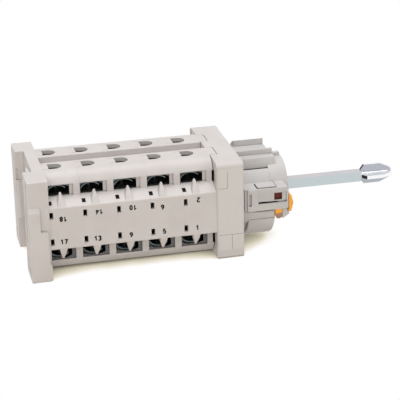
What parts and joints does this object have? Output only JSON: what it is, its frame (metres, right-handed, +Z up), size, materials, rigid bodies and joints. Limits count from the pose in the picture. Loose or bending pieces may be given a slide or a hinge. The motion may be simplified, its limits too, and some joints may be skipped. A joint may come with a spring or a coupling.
{
  "type": "switch disconnector",
  "caption": "Rotary load-break switch disconnector: stacked contact stages with screw terminals on a rail base, terraced latch drum and a long square shaft with a cross-blade coupling tip.",
  "frame": {"origin": "on the shaft axis, at the seat of the mounting rail in the rear base", "axes": "+X along the shaft towards the coupling tip, +Z up towards the flat top of the stages, -Y towards the side with the latch"},
  "size_m": [0.2285, 0.0739, 0.0604],
  "materials": {
    "housing_plastic": "fine moulded grain",
    "inner_plastic": "fine moulded grain",
    "cam_plastic": "smooth moulded",
    "latch_plastic": "smooth moulded",
    "zinc_steel": "zinc plated",
    "nickel_steel": "nickel plated, bright",
    "black_plastic": "smooth moulded",
    "black_steel": "black passivated",
    "contact_brass": "plain",
    "spring_wire": "drawn wire"
  },
  "bodies": {
    "stack": {"rear_base": "housing_plastic", "clip_spring": "spring_wire", "housing_1": "housing_plastic", "housing_2": "housing_plastic", "housing_3": "housing_plastic", "housing_4": "housing_plastic", "housing_5": "housing_plastic", "front_plate": "housing_plastic", "latch_housing": "housing_plastic", "front_ring": "housing_plastic", "tie_rods": "zinc_steel", "tie_nuts": "zinc_steel", "fixed_contacts": "contact_brass", "terminal_clamps": "black_steel", "terminal_screws": "black_steel", "terminal_inserts": "black_plastic", "detent_rollers": "spring_wire", "detent_springs": "spring_wire", "latch_spring": "spring_wire", "spring_1_front": "spring_wire", "spring_1_rear": "spring_wire", "spring_2_front": "spring_wire", "spring_2_rear": "spring_wire", "spring_3_front": "spring_wire", "spring_3_rear": "spring_wire", "spring_4_front": "spring_wire", "spring_4_rear": "spring_wire", "spring_5_front": "spring_wire", "spring_5_rear": "spring_wire"},
    "rail_catch": {"rail_clip": "housing_plastic"},
    "latch": {"release_latch": "latch_plastic"},
    "rotor": {"shaft": "zinc_steel", "coupling_tip": "nickel_steel", "cam_1": "cam_plastic", "cam_2": "cam_plastic", "cam_3": "cam_plastic", "cam_4": "cam_plastic", "cam_5": "cam_plastic", "detent_wheel": "cam_plastic", "circlip": "spring_wire"},
    "contact_1_front": {"carrier_1_front": "inner_plastic", "bridge_1_front": "contact_brass"},
    "contact_1_rear": {"carrier_1_rear": "inner_plastic", "bridge_1_rear": "contact_brass"},
    "contact_2_front": {"carrier_2_front": "inner_plastic", "bridge_2_front": "contact_brass"},
    "contact_2_rear": {"carrier_2_rear": "inner_plastic", "bridge_2_rear": "contact_brass"},
    "contact_3_front": {"carrier_3_front": "inner_plastic", "bridge_3_front": "contact_brass"},
    "contact_3_rear": {"carrier_3_rear": "inner_plastic", "bridge_3_rear": "contact_brass"},
    "contact_4_front": {"carrier_4_front": "inner_plastic", "bridge_4_front": "contact_brass"},
    "contact_4_rear": {"carrier_4_rear": "inner_plastic", "bridge_4_rear": "contact_brass"},
    "contact_5_front": {"carrier_5_front": "inner_plastic", "bridge_5_front": "contact_brass"},
    "contact_5_rear": {"carrier_5_rear": "inner_plastic", "bridge_5_rear": "contact_brass"}
  },
  "joints": [
    {"name": "shaft_turn", "type": "hinge", "parent": "stack", "child": "rotor", "pos_m": [0.1, 0, 0], "axis": [1, 0, 0], "range_deg": [0, 90]},
    {"name": "rail_catch_slide", "type": "slide", "parent": "stack", "child": "rail_catch", "axis": [0, -1, 0], "range_m": [0, 0.004], "stiffness_N_per_m": 300, "springref_m": -0.002, "deforming": ["clip_spring"]},
    {"name": "latch_slide", "type": "slide", "parent": "stack", "child": "latch", "axis": [0, 0, 1], "range_m": [0, 0.0024], "stiffness_N_per_m": 200, "springref_m": -0.002, "deforming": ["latch_spring"]},
    {"name": "contact_1_front_slide", "type": "slide", "parent": "stack", "child": "contact_1_front", "axis": [0, 1, 0], "range_m": [0, 0.00221], "deforming": ["spring_1_front"]},
    {"name": "contact_1_rear_slide", "type": "slide", "parent": "stack", "child": "contact_1_rear", "axis": [0, -1, 0], "range_m": [0, 0.00221], "deforming": ["spring_1_rear"]},
    {"name": "contact_2_front_slide", "type": "slide", "parent": "stack", "child": "contact_2_front", "axis": [0, 1, 0], "range_m": [0, 0.00221], "deforming": ["spring_2_front"]},
    {"name": "contact_2_rear_slide", "type": "slide", "parent": "stack", "child": "contact_2_rear", "axis": [0, -1, 0], "range_m": [0, 0.00221], "deforming": ["spring_2_rear"]},
    {"name": "contact_3_front_slide", "type": "slide", "parent": "stack", "child": "contact_3_front", "axis": [0, 1, 0], "range_m": [0, 0.00221], "deforming": ["spring_3_front"]},
    {"name": "contact_3_rear_slide", "type": "slide", "parent": "stack", "child": "contact_3_rear", "axis": [0, -1, 0], "range_m": [0, 0.00221], "deforming": ["spring_3_rear"]},
    {"name": "contact_4_front_slide", "type": "slide", "parent": "stack", "child": "contact_4_front", "axis": [0, 1, 0], "range_m": [0, 0.00221], "deforming": ["spring_4_front"]},
    {"name": "contact_4_rear_slide", "type": "slide", "parent": "stack", "child": "contact_4_rear", "axis": [0, -1, 0], "range_m": [0, 0.00221], "deforming": ["spring_4_rear"]},
    {"name": "contact_5_front_slide", "type": "slide", "parent": "stack", "child": "contact_5_front", "axis": [0, 1, 0], "range_m": [0, 0.00221], "deforming": ["spring_5_front"]},
    {"name": "contact_5_rear_slide", "type": "slide", "parent": "stack", "child": "contact_5_rear", "axis": [0, -1, 0], "range_m": [0, 0.00221], "deforming": ["spring_5_rear"]}
  ],
  "couplings": [
    {"joint": "contact_1_front_slide", "follows": "shaft_turn", "m_per_rad": 0.0014006},
    {"joint": "contact_1_rear_slide", "follows": "shaft_turn", "m_per_rad": 0.0014006},
    {"joint": "contact_2_front_slide", "follows": "shaft_turn", "m_per_rad": 0.0014006},
    {"joint": "contact_2_rear_slide", "follows": "shaft_turn", "m_per_rad": 0.0014006},
    {"joint": "contact_3_front_slide", "follows": "shaft_turn", "m_per_rad": 0.0014006},
    {"joint": "contact_3_rear_slide", "follows": "shaft_turn", "m_per_rad": 0.0014006},
    {"joint": "contact_4_front_slide", "follows": "shaft_turn", "m_per_rad": 0.0014006},
    {"joint": "contact_4_rear_slide", "follows": "shaft_turn", "m_per_rad": 0.0014006},
    {"joint": "contact_5_front_slide", "follows": "shaft_turn", "m_per_rad": 0.0014006},
    {"joint": "contact_5_rear_slide", "follows": "shaft_turn", "m_per_rad": 0.0014006}
  ]
}
